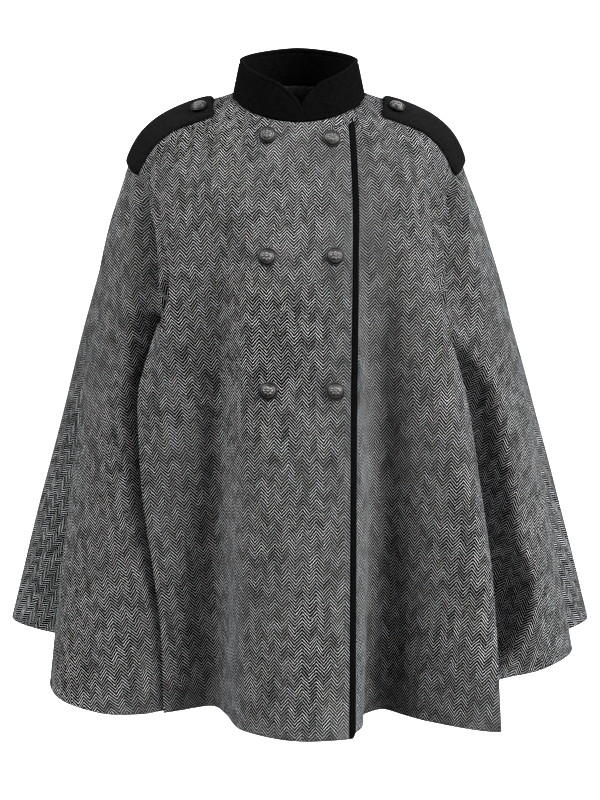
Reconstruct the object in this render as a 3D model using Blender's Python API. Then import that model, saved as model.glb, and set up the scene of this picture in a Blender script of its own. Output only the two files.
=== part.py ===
"""Wool cape coat: stand collar, double-breasted front, arm slits, epaulettes.

Metres, +Z up.  +X is the wearer's left, -Y the front.  The origin is the middle of the neck seam,
level with the two side-neck points, where the coat hangs from the shoulders.

Every cloth piece is cut from one draped surface.  A point on it is given by `down`, the share of the
way along the cloth from the neck seam (0) to the hem (1), and by `angle`, in degrees round the
wearer: 0 in front, positive towards the wearer's left, 180 behind.
"""
import math

import bmesh
import bpy
import numpy as np

# ---------------------------------------------------------------- driving dimensions
WALL = 0.0030             # tweed with its turned edges
SEAM_GAP = 0.0003         # room between two pieces that meet
FINE = 0.0005             # step for slopes of the surface, as a share of the length
LENGTH = 0.80             # cloth length from neck seam to hem at the side
STEEPEST_SEAM = 2.0       # most that a seam's slant widens its gap

UNDERLAP_X = -0.0640      # free edge of the lower front
BINDING_WIDTH = 0.0065
BINDING_WALL = 0.0040
BINDING_CORNER = 0.0080   # height of the rounded corner at the hem
BINDING_CORNER_WIDTH = 0.0050
OVERLAP_DEPTH = 0.0048    # lower front lies this much further in, below the upper front
OVERLAP_BLEND = 0.030     # width over which the lower front comes out again

SHOULDER_TOP = 0.160      # `down` of the side panels' pointed tops
SLIT_UNDERLAP = 0.024     # side panel runs this far in below the front's free edge
SINK_TURN = math.radians(20.0)   # below the slits the side panels sink this far round from straight back
RIGHT_WALL = -0.008       # where they come out again, from the front's edge on
RIGHT_WALL_WIDTH = 0.038  # and over what width
LEFT_WALL_WIDTH = 0.042

COLLAR_WALL = 0.0042
COLLAR_TURNS = (-4.0, -3.0, -1.5, 1.5, 5.0, 10.0, 15.0, 22.0, 30.0, 40.0, 180.0)   # from the front on
COLLAR_HEIGHTS = (0.005, 0.006, 0.0135, 0.0235, 0.029, 0.0352, 0.0397, 0.045, 0.047, 0.048, 0.047)
COLLAR_LEAN = 0.010       # at the back the top edge is this much nearer the neck than the seam
COLLAR_RIGHT_END = 363.0  # angles of the collar's two ends, which cross at the middle of the front
COLLAR_LEFT_END = -4.0
COLLAR_CROSSING = (10.0, 38.0)   # the left end goes in below the right one between these angles
FACING_WALL = 0.0015

EPAULETTE_WIDTH = 0.050
EPAULETTE_WALL = 0.0052
EPAULETTE_ROUND = 0.012   # corner radius at both ends
EPAULETTE_CLEAR = 0.0006  # room between a strap and the curved cloth
EPAULETTE_EDGE = 0.65     # thickness of a strap's rolled long edges, as a share of its middle
EPAULETTE_MIDDLE = ((0.040, 77.5), (0.070, 79.5), (0.110, 82.0), (0.150, 81.8), (0.205, 81.6))   # down, angle

BUTTON_RADIUS = 0.0113
BUTTON_HEIGHT = 0.0085
BUTTON_CLEAR = 0.0006     # room between a button's back and the curved cloth
BUTTON_SEGMENTS = 12
BUTTON_PROFILE = ((0.82, 0.0), (1.0, 0.10), (1.0, 0.26), (0.86, 0.42), (0.50, 0.86))   # shares of both sizes
FRONT_BUTTONS = (         # name, distance below the neck seam, distance from the middle
    ("button_right_1", 0.0225, -0.0388),
    ("button_right_2", 0.1725, -0.0392),
    ("button_right_3", 0.3345, -0.0375),
    ("button_left_1", 0.0280, 0.0380),
    ("button_left_2", 0.1735, 0.0415),
    ("button_left_3", 0.3350, 0.0414),
)
EPAULETTE_BUTTONS = (     # name, down, angle
    ("epaulette_button_right", 0.059, -76.2),
    ("epaulette_button_left", 0.060, 76.4),
)
FRONT_LENGTH = 0.745      # cloth length from neck seam to hem at the middle of the front

UP = np.array((0.0, 0.0, 1.0))
BACK_COLUMNS = 32         # columns of faces across the back

# ---------------------------------------------------------------- the draped surface
SECTION_COLUMNS = ("down", "half_width", "front_depth", "back_depth", "side_z", "front_z", "back_z",
                   "middle_x")
SECTIONS = (
    (0.000, 0.082, 0.080, 0.066, 0.000, -0.032, 0.008, -0.0015),
    (0.025, 0.099, 0.087, 0.078, -0.005, -0.049, -0.004, -0.002),
    (0.060, 0.126, 0.098, 0.094, -0.012, -0.072, -0.025, -0.003),
    (0.110, 0.164, 0.114, 0.111, -0.029, -0.106, -0.058, -0.0035),
    (0.150, 0.187, 0.127, 0.121, -0.047, -0.133, -0.086, -0.004),
    (0.180, 0.200, 0.136, 0.127, -0.066, -0.154, -0.107, -0.0045),
    (0.220, 0.2125, 0.147, 0.133, -0.098, -0.182, -0.136, -0.0055),
    (0.300, 0.236, 0.165, 0.144, -0.159, -0.237, -0.194, -0.006),
    (0.450, 0.266, 0.184, 0.165, -0.275, -0.344, -0.301, -0.0035),
    (0.620, 0.290, 0.208, 0.191, -0.408, -0.467, -0.424, -0.0015),
    (0.800, 0.313, 0.231, 0.219, -0.550, -0.600, -0.554, -0.001),
    (1.000, 0.335, 0.255, 0.250, -0.706, -0.742, -0.700, 0.000),
)

# One row for each line that runs down the drape: the angle where it starts and at the hem, how far
# the cloth stands out there (or in, when negative), and the `down` at which it starts.
FOLD_COLUMNS = ("name", "top_angle", "hem_angle", "hem_reach", "start", "power")
FOLDS = (
    ("back_trough_right", -172.0, -170.0, -0.022, 0.30, 1.2),
    ("back_crest_right", -150.0, -148.0, 0.030, 0.30, 1.2),
    ("shoulder_trough_right", -128.0, -129.0, -0.030, 0.28, 1.1),
    ("back_ridge_right", -103.0, -106.0, 0.079, 0.22, 1.1),
    ("side_trough_right", -90.0, -84.0, -0.085, 0.22, 1.0),
    ("side_ridge_back_right", -84.0, -64.0, 0.030, 0.24, 2.2),
    ("side_ridge_right", -76.0, -56.5, 0.043, 0.26, 2.2),
    ("side_ridge_front_right", -70.0, -48.0, 0.033, 0.28, 2.2),
    ("slit_right", -52.0, -40.0, -0.014, 0.34, 1.5),
    ("front_trough_right", -34.0, -32.5, -0.072, 0.18, 0.75),
    ("front_trough_inner_right", -29.5, -25.5, -0.053, 0.18, 0.75),
    ("front_flank_right", -18.0, -15.0, 0.000, 0.30, 1.2),
    ("front_crest", 0.0, 2.0, 0.030, 0.40, 1.4),
    ("overlap_crest", 22.0, 12.5, 0.025, 0.36, 1.4),
    ("overlap_edge", 27.0, 16.5, -0.002, 0.34, 1.4),
    ("front_trough_inner_left", 34.0, 22.5, -0.056, 0.20, 0.75),
    ("front_trough_left", 40.0, 29.5, -0.066, 0.20, 0.75),
    ("front_flank_left", 46.0, 34.0, -0.004, 0.30, 1.2),
    ("slit_left", 53.0, 42.0, 0.078, 0.28, 1.2),
    ("slit_trough_left", 66.0, 62.0, -0.034, 0.28, 1.2),
    ("side_flank_left", 72.0, 71.0, 0.000, 0.24, 1.2),
    ("side_ridge_left", 82.0, 83.0, 0.020, 0.24, 1.2),
    ("side_trough_left", 92.0, 91.0, 0.002, 0.24, 1.1),
    ("back_ridge_left", 103.0, 106.0, 0.079, 0.22, 1.1),
    ("shoulder_trough_left", 128.0, 129.0, -0.030, 0.28, 1.1),
    ("back_crest_left", 150.0, 148.0, 0.030, 0.30, 1.2),
    ("back_trough_left", 172.0, 170.0, -0.022, 0.30, 1.2),
)
FOLD_TOP = 0.20           # `down` at which a fold line is at its top angle
CREST = 0.12              # how rounded the shoulders' crest is
FALL_EASE = 0.22          # how gently the roof shape of the shoulders gives way to the round one

# Where the seams and free edges run, as distances from the middle (x) or angles round the wearer, how
# far the side panels sink behind the arm slits, and how far beyond the slit the left one comes out.
LINE_COLUMNS = ("down", "right_front_x", "left_front_x", "side_seam_angle", "overlap_x", "right_sink",
                "left_sink", "left_wall")
LINES = (
    (0.000, -0.1935, 0.1855, 90.0, 0.0655, 0.000, 0.000, -0.010),
    (0.050, -0.1935, 0.1855, 90.0, 0.0680, 0.000, 0.000, -0.010),
    (0.160, -0.1935, 0.1855, 90.0, 0.0708, 0.000, 0.000, -0.010),
    (0.175, -0.1918, 0.1840, 90.5, 0.0710, 0.000, 0.000, -0.010),
    (0.200, -0.181, 0.176, 91.0, 0.0710, 0.000, 0.000, -0.010),
    (0.250, -0.168, 0.160, 92.0, 0.0706, 0.000, 0.000, -0.010),
    (0.310, -0.158, 0.161, 92.0, 0.0700, 0.000, 0.000, -0.022),
    (0.335, -0.158, 0.167, 92.0, 0.0698, 0.007, 0.013, -0.016),
    (0.360, -0.163, 0.173, 92.0, 0.0695, 0.015, 0.023, -0.014),
    (0.420, -0.179, 0.184, 92.0, 0.0688, 0.027, 0.031, -0.006),
    (0.520, -0.197, 0.203, 91.0, 0.0680, 0.035, 0.036, 0.022),
    (0.640, -0.192, 0.217, 90.0, 0.0675, 0.035, 0.041, 0.052),
    (0.780, -0.176, 0.231, 88.0, 0.0670, 0.026, 0.051, 0.090),
    (0.870, -0.168, 0.235, 88.0, 0.0665, 0.018, 0.061, 0.120),
    (1.000, -0.165, 0.238, 88.0, 0.0660, 0.014, 0.078, 0.116),
)

# Soft valleys that run down into the arm slits: their angles and the share of their depth there.
VALLEY_COLUMNS = ("down", "right_angle", "left_angle", "share")
VALLEYS = (
    (0.000, -80.0, 84.0, 0.0),
    (0.195, -75.0, 80.0, 0.0),
    (0.225, -70.2, 74.5, 0.75),
    (0.250, -65.8, 70.5, 1.0),
    (0.290, -61.0, 67.0, 1.0),
    (0.330, -58.5, 65.4, 1.0),
    (0.380, -57.0, 63.9, 0.75),
    (0.440, -55.2, 63.2, 0.3),
    (0.500, -55.0, 63.0, 0.0),
    (1.000, -55.0, 63.0, 0.0),
)
VALLEY_SIZES = (("right_angle", 0.028, 6.5), ("left_angle", 0.030, 8.0))   # depth, half width in degrees

# Rows of the mesh down the cloth, shared by all panels so that their seams match.
ROWS = (0.0, 0.02, 0.05, 0.085, 0.12, 0.1575, 0.160, 0.170, 0.185, 0.205, 0.24, 0.275, 0.31, 0.3225,
        0.335, 0.36, 0.40, 0.46, 0.53, 0.61, 0.69, 0.77, 0.85, 0.93, 1.0)
FACING_ROWS = 4           # the facing has the rows 1 to 3 of the back


def column(table, columns, name):
    """One named column of a table, as an array."""
    place = columns.index(name)
    return np.array([row[place] for row in table])


def smooth_line(knots, values, at):
    """Values between the knots, on a smooth curve that never overshoots them."""
    at = np.clip(np.asarray(at, float), knots[0], knots[-1])
    step = np.diff(knots)
    slope = np.diff(values) / step
    before, after = slope[:-1], slope[1:]
    same_way = before * after > 0
    total = np.where(same_way, before + after, 1.0)
    tangent = np.concatenate((slope[:1], np.where(same_way, 2 * before * after / total, 0.0), slope[-1:]))
    place = np.clip(np.searchsorted(knots, at, side="right") - 1, 0, len(step) - 1)
    width = step[place]
    u = (at - knots[place]) / width
    return ((2 * u**3 - 3 * u**2 + 1) * values[place] + (u**3 - 2 * u**2 + u) * width * tangent[place]
            + (3 * u**2 - 2 * u**3) * values[place + 1] + (u**3 - u**2) * width * tangent[place + 1])


def section(name, down):
    """A size of the cross-section at `down`."""
    return float(smooth_line(column(SECTIONS, SECTION_COLUMNS, "down"),
                             column(SECTIONS, SECTION_COLUMNS, name), down))


def line(name, down):
    """Where a seam or free edge runs at `down`."""
    return float(smooth_line(column(LINES, LINE_COLUMNS, "down"), column(LINES, LINE_COLUMNS, name), down))


def valley_value(name, down):
    """Where a valley runs at `down`, or the share of its depth that it has there."""
    return float(smooth_line(column(VALLEYS, VALLEY_COLUMNS, "down"), column(VALLEYS, VALLEY_COLUMNS, name),
                             down))


def fold_reach(down, angles):
    """How far the folds push the cloth out at each angle."""
    run = np.clip((down - FOLD_TOP) / (1 - FOLD_TOP), 0, 1)
    top = column(FOLDS, FOLD_COLUMNS, "top_angle")
    knots = top + (column(FOLDS, FOLD_COLUMNS, "hem_angle") - top) * run
    start = column(FOLDS, FOLD_COLUMNS, "start")
    growth = np.clip((down - start) / (1 - start), 0, 1) ** column(FOLDS, FOLD_COLUMNS, "power")
    reach = column(FOLDS, FOLD_COLUMNS, "hem_reach") * growth
    knots = np.concatenate((knots[-1:] - 360, knots, knots[:1] + 360))
    reach = np.concatenate((reach[-1:], reach, reach[:1]))
    angles = (np.asarray(angles, float) + 180) % 360 - 180
    return smooth_line(knots, reach, angles) - valley_depth(down, angles)


def valley_depth(down, angles):
    """How deep the soft valleys above the arm slits are at each angle."""
    share, depth = valley_value("share", down), 0 * angles
    for name, deepest, half_width in VALLEY_SIZES:
        away = np.abs(angles - valley_value(name, down)) / half_width
        depth = depth + deepest * share * (0.5 + 0.5 * np.cos(np.pi * np.clip(away, 0, 1)))
    return depth


def fall_share(down, sine, cosine):
    """How far the height has gone from its value at the side to that in front or behind: roof-shaped
    over the shoulders, rounder further down."""
    roof = (np.hypot(cosine, CREST) - CREST) / (math.hypot(1, CREST) - CREST)
    past = (down - 0.2) / 0.3
    share = min((past + math.hypot(past, FALL_EASE)) / 2, 1.0)
    return roof + (1 - sine**4 - roof) * share


def cloth(down, angles, sink=None):
    """Points of the cloth's outer face at one `down` and several angles.  sink(down, angles) gives how
    far a piece lies behind the draped surface."""
    angles = np.asarray(angles, float)
    sine, cosine = np.sin(np.radians(angles)), np.cos(np.radians(angles))
    ahead = cosine > 0
    depth = np.where(ahead, section("front_depth", down), section("back_depth", down))
    reach = 1 / np.hypot(sine / section("half_width", down), cosine / depth) + fold_reach(down, angles)
    across, back = reach * sine, -reach * cosine
    if sink is not None:
        deep = sink(down, angles)
        across = across - deep * math.sin(SINK_TURN) * np.sign(sine)
        back = back + deep * math.cos(SINK_TURN)
    end_z = np.where(ahead, section("front_z", down), section("back_z", down))
    side_z = section("side_z", down)
    height = side_z + (end_z - side_z) * fall_share(down, sine, cosine)
    return np.stack((section("middle_x", down) + across, back, height), -1)


def cloth_normals(down, angles, sink=None):
    """Directions straight out of the cloth."""
    angles = np.asarray(angles, float)
    across = cloth(down, angles + 0.1, sink) - cloth(down, angles - 0.1, sink)
    upper, lower = max(down - FINE, 0.0), min(down + FINE, 1.0)
    along = cloth(lower, angles, sink) - cloth(upper, angles, sink)
    normal = np.cross(along, across)
    return normal / np.linalg.norm(normal, axis=-1, keepdims=True)


def angle_at_x(down, x):
    """Angle in the front half at which the cloth is at distance x from the middle."""
    side = math.copysign(1, x)
    angles = side * np.linspace(0, 90, 721)
    across = side * cloth(down, angles)[:, 0]
    return float(np.interp(abs(x), np.maximum.accumulate(across), side * angles)) * side


def degrees_for(distance, down, angle):
    """The angle that spans a short distance across the cloth."""
    nearby = cloth(down, (angle - 0.2, angle + 0.2))
    return 0.4 * distance / float(np.linalg.norm(nearby[1] - nearby[0]))


# ---------------------------------------------------------------- mesh helpers
def material(name, colour, roughness, metallic=0.0):
    made = bpy.data.materials.new(name)
    made.use_nodes = True
    shader = made.node_tree.nodes["Principled BSDF"]
    shader.inputs["Base Color"].default_value = (*colour, 1.0)
    shader.inputs["Roughness"].default_value = roughness
    shader.inputs["Metallic"].default_value = metallic
    made.diffuse_color = (*colour, 1.0)
    return made


def add_object(name, mesh_data, finish):
    """Turn a bmesh into a named object with its faces pointing out."""
    bmesh.ops.recalc_face_normals(mesh_data, faces=mesh_data.faces)
    mesh = bpy.data.meshes.new(name)
    mesh_data.to_mesh(mesh)
    mesh_data.free()
    mesh.materials.append(finish)
    mesh.shade_smooth()
    mesh.set_sharp_from_angle(angle=math.radians(40))
    made = bpy.data.objects.new(name, mesh)
    bpy.context.collection.objects.link(made)
    return made


def add_wall(name, outer, inner, finish):
    """A closed wall between two grids of points that have the same rows and columns."""
    rows, columns = outer.shape[:2]
    mesh_data = bmesh.new()
    front = [[mesh_data.verts.new(point) for point in row] for row in outer]
    back = [[mesh_data.verts.new(point) for point in row] for row in inner]
    for i in range(rows - 1):
        for j in range(columns - 1):
            mesh_data.faces.new((front[i][j], front[i][j + 1], front[i + 1][j + 1], front[i + 1][j]))
            mesh_data.faces.new((back[i][j], back[i + 1][j], back[i + 1][j + 1], back[i][j + 1]))
    for i in range(rows - 1):
        mesh_data.faces.new((front[i][0], front[i + 1][0], back[i + 1][0], back[i][0]))
        mesh_data.faces.new((front[i][-1], back[i][-1], back[i + 1][-1], front[i + 1][-1]))
    for j in range(columns - 1):
        mesh_data.faces.new((front[0][j], back[0][j], back[0][j + 1], front[0][j + 1]))
        mesh_data.faces.new((front[-1][j], front[-1][j + 1], back[-1][j + 1], back[-1][j]))
    return add_object(name, mesh_data, finish)


def spread(start, end, shares):
    """Values from start to end at the given shares of the way."""
    return start + (end - start) * np.asarray(shares)


def panel(name, rows, edges, shares, finish, sink=None, lift=None, wall=WALL):
    """A piece of the coat: for each row, edges(down) gives its first and last angle.  lift(down,
    angles) is how far its outer face stands off its surface, along the cloth's normal."""
    outer, inner = [], []
    for down in rows:
        first, last = edges(down)
        angles = spread(first, last, shares)
        points, normals = cloth(down, angles, sink), cloth_normals(down, angles, sink)
        raised = np.zeros(len(angles)) if lift is None else lift(down, angles)
        points = points + normals * raised[:, None]
        outer.append(points)
        inner.append(points - normals * wall)
    return add_wall(name, np.array(outer), np.array(inner), finish)


def level(amount):
    """The same lift all over a piece."""
    return lambda down, angles: np.full(len(angles), amount)


# ---------------------------------------------------------------- where pieces end
def front_edge(side, down):
    """Angle of the front's outer line: shoulder seam, then princess seam, then arm slit."""
    if down < SHOULDER_TOP:
        return side * 90.0
    return angle_at_x(down, line("left_front_x" if side > 0 else "right_front_x", down))


def overlap_edge(down, inset=0.0):
    """Angle of the upper front's free edge, or of a line that lies `inset` in from it."""
    return angle_at_x(down, line("overlap_x", down) - inset)


def side_seam(side, down):
    """Angle of the line between the back and the front or side panel."""
    if down < SHOULDER_TOP:
        return side * 90.0
    return side * line("side_seam_angle", down)


def half_gap(edge, side, down):
    """Half the room at a seam, in degrees across the cloth, wider where the seam runs aslant."""
    angle = edge(side, down)
    turned = edge(side, min(down + FINE, 1)) - edge(side, max(down - FINE, 0))
    lean = min(abs(turned) / degrees_for(2 * FINE * LENGTH, down, angle), STEEPEST_SEAM)
    return degrees_for(SEAM_GAP / 2 * math.hypot(1, lean), down, angle)


def upper_front_edges(down):
    """The wearer's right front, from its outer line to the binding on its free edge."""
    outer = front_edge(-1, down)
    return outer + half_gap(front_edge, -1, down), overlap_edge(down, BINDING_WIDTH + SEAM_GAP)


def lower_front_edges(down):
    """The wearer's left front, from its free edge below the overlap to its outer line."""
    outer = front_edge(1, down)
    return angle_at_x(down, UNDERLAP_X), outer - half_gap(front_edge, 1, down)


def back_edges(down):
    left = side_seam(1, down) + half_gap(side_seam, 1, down)
    right = side_seam(-1, down) - half_gap(side_seam, -1, down)
    return left, 360 + right


def side_edges(side):
    """Edges of a side panel, which runs in below the front along the arm slit."""
    def edges(down):
        outer = side_seam(side, down)
        inner = front_edge(side, down)
        inner += side * half_gap(front_edge, side, down)
        # as it sinks it first draws away from the front's edge, then runs in under it
        depth = slit_sink(side, down) / (2 * WALL)
        under = SLIT_UNDERLAP * np.clip(depth - 1, 0, 1) - WALL * np.clip(depth, 0, 1)
        inner -= side * degrees_for(float(under), down, inner)
        outer -= side * half_gap(side_seam, side, down)
        return (inner, outer) if side > 0 else (outer, inner)
    return edges


def slit_sink(side, down):
    """How far below the front the side panel lies along the arm slit."""
    return line("left_sink" if side > 0 else "right_sink", down)


def side_sink(side):
    """The side panel sinks below the front's free edge, and comes out again away from it."""
    def sink(down, angles):
        deep = slit_sink(side, down)
        edge = front_edge(side, down)
        away = side * (angles - edge) / degrees_for(1.0, down, edge)
        wall, width = RIGHT_WALL, RIGHT_WALL_WIDTH
        if side > 0:
            wall, width = line("left_wall", down), LEFT_WALL_WIDTH
        return deep * (0.5 + 0.5 * np.cos(np.pi * np.clip((away - wall) / width, 0, 1)))
    return sink


def lower_front_lift(down, angles):
    """The lower front lies below the upper one as far as the overlap's free edge."""
    edge = overlap_edge(down)
    away = (angles - edge) / degrees_for(1.0, down, edge) - BINDING_WALL
    return -OVERLAP_DEPTH * (0.5 + 0.5 * np.cos(np.pi * np.clip(away / OVERLAP_BLEND, 0, 1)))


# ---------------------------------------------------------------- sub-parts
def build_panels(tweed):
    """Back, two fronts and two side panels."""
    panel("back", ROWS, back_edges, np.linspace(0, 1, BACK_COLUMNS + 1), tweed)
    panel("front_right", ROWS, upper_front_edges, np.linspace(0, 1, 17), tweed)
    panel("front_left", ROWS, lower_front_edges, np.linspace(0, 1, 22), tweed, lift=lower_front_lift)
    side_rows = [down for down in ROWS if down >= SHOULDER_TOP]
    side_rows[0] += SEAM_GAP / LENGTH
    near_slit = np.linspace(0, 1, 18) ** 1.35   # closer columns where the panel comes out of the slit
    panel("side_right", side_rows, side_edges(-1), 1 - near_slit[::-1], tweed, sink=side_sink(-1))
    panel("side_left", side_rows, side_edges(1), np.linspace(0, 1, 21), tweed, sink=side_sink(1))


def build_binding(black):
    """Black binding along the free edge of the upper front, rounded off at the hem."""
    corner = BINDING_CORNER / FRONT_LENGTH

    def edges(down):
        cut = 1 - math.sqrt(1 - np.clip((down - 1 + corner) / corner, 0, 0.95) ** 2)
        return overlap_edge(down, BINDING_WIDTH), overlap_edge(down, BINDING_CORNER_WIDTH * cut)

    rows = [down for down in ROWS if down < 1 - corner] + [1 - corner, 1 - 0.4 * corner, 1.0]
    panel("front_binding", rows, edges, (0, 0.5, 1), black, lift=level(0.0004), wall=BINDING_WALL)


def build_collar(black):
    """Stand collar: one wall round the neck whose right end crosses over its left end.  Its top edge
    comes down to a point at the middle of the front."""
    left_round = np.concatenate(((COLLAR_LEFT_END, -1.5, 1.5), np.linspace(5, 24, 5)))
    right_round = np.concatenate((np.linspace(336, 355, 5), (358.5, 361.5, COLLAR_RIGHT_END)))
    turns = np.concatenate((left_round[:-1], np.linspace(24, 336, 21), right_round[1:]))
    shares = (0.0, 0.5, 1.0)
    outer = [[collar_point(turn, share, 0.0) for turn in turns] for share in shares]
    inner = [[collar_point(turn, share, COLLAR_WALL) for turn in turns] for share in shares]
    add_wall("collar", np.array(outer), np.array(inner), black)


def collar_point(turn, share, inset):
    """A point of the collar: degrees round the neck from the front, and share of its height there."""
    seam = cloth(0.0, [turn])[0]
    outward = np.array((math.sin(math.radians(turn)), -math.cos(math.radians(turn)), 0.0))
    from_front = turn if turn < 180 else 360 - turn
    full = float(smooth_line(np.array(COLLAR_TURNS), np.array(COLLAR_HEIGHTS), from_front))
    height = full * share + 2 * SEAM_GAP
    # the left-hand end goes in below the right-hand one
    first, last = COLLAR_CROSSING
    ease = float(np.clip((last - turn) / (last - first), 0, 1))
    under = (COLLAR_WALL + 2 * SEAM_GAP) * ease * ease * (3 - 2 * ease)
    lean = COLLAR_LEAN * height / COLLAR_HEIGHTS[-1]
    return seam + UP * height - outward * (SEAM_GAP + inset + under + lean)


def build_facing(black):
    """Black facing inside the back of the neck."""
    columns = BACK_COLUMNS // 3
    half_span = 90.0 * 2 * columns / BACK_COLUMNS
    panel("neck_facing", ROWS[1:FACING_ROWS], lambda down: (180 - half_span, 180 + half_span),
          np.linspace(0, 1, 2 * columns + 1), black, lift=level(-WALL - SEAM_GAP), wall=FACING_WALL)


def build_epaulette(name, side, black):
    """Shoulder strap with rounded corners, on the cloth from near the collar to the shoulder's end."""
    middle_downs, middle_angles = zip(*EPAULETTE_MIDDLE)
    start, end = middle_downs[0], middle_downs[-1]
    steps = np.concatenate(([0, 0.02], np.linspace(0.08, 0.92, 9), [0.98, 1.0]))
    across = np.linspace(-1, 1, 6)
    crown = EPAULETTE_EDGE + (1 - EPAULETTE_EDGE) * np.sqrt(1 - across**4)
    outer, inner = [], []
    for step in steps:
        down = start + (end - start) * step
        from_end = min(step, 1 - step) * (end - start) * LENGTH
        inset = max(EPAULETTE_ROUND - from_end, 0)
        half = EPAULETTE_WIDTH / 2 - EPAULETTE_ROUND + math.sqrt(EPAULETTE_ROUND**2 - 0.98 * inset**2)
        middle = float(np.interp(down, middle_downs, middle_angles))
        angles = side * (middle + degrees_for(half, down, middle) * across)
        points, normals = cloth(down, angles), cloth_normals(down, angles)
        outer.append(points + normals * (EPAULETTE_CLEAR + EPAULETTE_WALL * crown[:, None]))
        inner.append(points + normals * EPAULETTE_CLEAR)
    add_wall(name, np.array(outer), np.array(inner), black)


def build_button(name, down, angle, clearance, metal):
    """Domed metal button, its flat back `clearance` off the cloth."""
    centre, normal = cloth(down, [angle])[0], cloth_normals(down, [angle])[0]
    sideways = np.cross(UP, normal)
    sideways /= np.linalg.norm(sideways)
    upward = np.cross(normal, sideways)
    turns = [2 * math.pi * k / BUTTON_SEGMENTS for k in range(BUTTON_SEGMENTS)]
    mesh_data = bmesh.new()
    rings = []
    for share, height in BUTTON_PROFILE:
        middle = centre + normal * (clearance + BUTTON_HEIGHT * height)
        radius = BUTTON_RADIUS * share
        spokes = [math.cos(turn) * sideways + math.sin(turn) * upward for turn in turns]
        rings.append([mesh_data.verts.new(middle + radius * spoke) for spoke in spokes])
    top = mesh_data.verts.new(centre + normal * (clearance + BUTTON_HEIGHT))
    mesh_data.faces.new(rings[0])
    for k in range(BUTTON_SEGMENTS):
        after = (k + 1) % BUTTON_SEGMENTS
        for lower, upper in zip(rings, rings[1:]):
            mesh_data.faces.new((lower[k], lower[after], upper[after], upper[k]))
        mesh_data.faces.new((rings[-1][k], rings[-1][after], top))
    add_object(name, mesh_data, metal)


def build_buttons(metal):
    """Three rows of two on the front, and one on each epaulette."""
    for name, below, x in FRONT_BUTTONS:
        down = below / FRONT_LENGTH
        build_button(name, down, angle_at_x(down, x), BUTTON_CLEAR, metal)
    for name, down, angle in EPAULETTE_BUTTONS:
        build_button(name, down, angle, EPAULETTE_CLEAR + EPAULETTE_WALL + BUTTON_CLEAR, metal)


def main():
    for old in list(bpy.data.objects):
        bpy.data.objects.remove(old, do_unlink=True)
    tweed = material("herringbone_tweed", (0.105, 0.106, 0.108), 0.95)
    black = material("black_felted_wool", (0.006, 0.006, 0.007), 0.9)
    metal = material("antique_pewter", (0.30, 0.29, 0.27), 0.42, 0.9)
    build_panels(tweed)
    build_binding(black)
    build_collar(black)
    build_facing(black)
    build_epaulette("epaulette_right", -1, black)
    build_epaulette("epaulette_left", 1, black)
    build_buttons(metal)


main()
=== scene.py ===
"""Looks of the wool cape coat: fine cloth with its weave and stitching, metal buttons, light, camera.

Metres, +Z up.  +X is the wearer's left, -Y the front.  The surface of the coat and the places of its
seams, free edges and buttons repeat those of the CAD source: `down` is the share of the way along the
cloth from the neck seam (0) to the hem (1), `angle` the degrees round the wearer, 0 in front, positive
towards the wearer's left, 180 behind.
"""
import math
from functools import cache

import bpy
import numpy as np
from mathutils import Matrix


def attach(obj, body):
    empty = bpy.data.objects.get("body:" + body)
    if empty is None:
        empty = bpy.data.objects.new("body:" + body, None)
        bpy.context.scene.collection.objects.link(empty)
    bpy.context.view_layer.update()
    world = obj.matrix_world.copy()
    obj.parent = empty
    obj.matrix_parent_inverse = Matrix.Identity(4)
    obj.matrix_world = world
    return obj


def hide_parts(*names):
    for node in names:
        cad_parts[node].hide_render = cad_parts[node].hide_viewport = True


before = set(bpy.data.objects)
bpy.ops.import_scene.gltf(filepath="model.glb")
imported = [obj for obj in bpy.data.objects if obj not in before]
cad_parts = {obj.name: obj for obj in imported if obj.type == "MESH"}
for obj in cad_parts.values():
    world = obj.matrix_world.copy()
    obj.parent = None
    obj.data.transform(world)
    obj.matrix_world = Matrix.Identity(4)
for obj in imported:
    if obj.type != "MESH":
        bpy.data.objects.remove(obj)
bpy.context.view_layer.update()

# ---------------------------------------------------------------- sizes
# as in the CAD source, apart from the lines marked "here", which fit the photograph more closely
WALL = 0.0030             # tweed with its turned edges
SEAM_GAP = 0.0003         # room between two pieces that meet
FINE = 0.0005             # step for slopes of the surface, as a share of the length
LENGTH = 0.80             # cloth length from neck seam to hem at the side
FRONT_LENGTH = 0.745      # and at the middle of the front
STEEPEST_SEAM = 2.0       # most that a seam's slant widens its gap

UNDERLAP_X = -0.0640      # free edge of the lower front
BINDING_WIDTH = 0.0076    # here: 1.1 mm wider
BINDING_TOP = 0.0210      # here: `down` from which the front makes room for the binding
BINDING_GAP = 0.0006      # here: room above the binding's top, also as a share of the length
BINDING_WALL = 0.0040
BINDING_CORNER = 0.0080   # height of its rounded corner at the hem
BINDING_CORNER_WIDTH = 0.0050
BINDING_LIFT = 0.0004
OVERLAP_DEPTH = 0.0048    # the lower front lies this much further in, below the upper front
OVERLAP_BLEND = 0.030     # width over which it comes out again

SHOULDER_TOP = 0.160      # `down` of the side panels' pointed tops
SLIT_UNDERLAP = 0.024     # a side panel runs this far in below the front's free edge
SINK_TURN = math.radians(20.0)   # the side panels sink this far round from straight back
RIGHT_WALL = -0.008       # where they rise again, beyond the front's edge, and how broadly
RIGHT_WALL_WIDTH = 0.038
LEFT_WALL_WIDTH = 0.042

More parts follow.
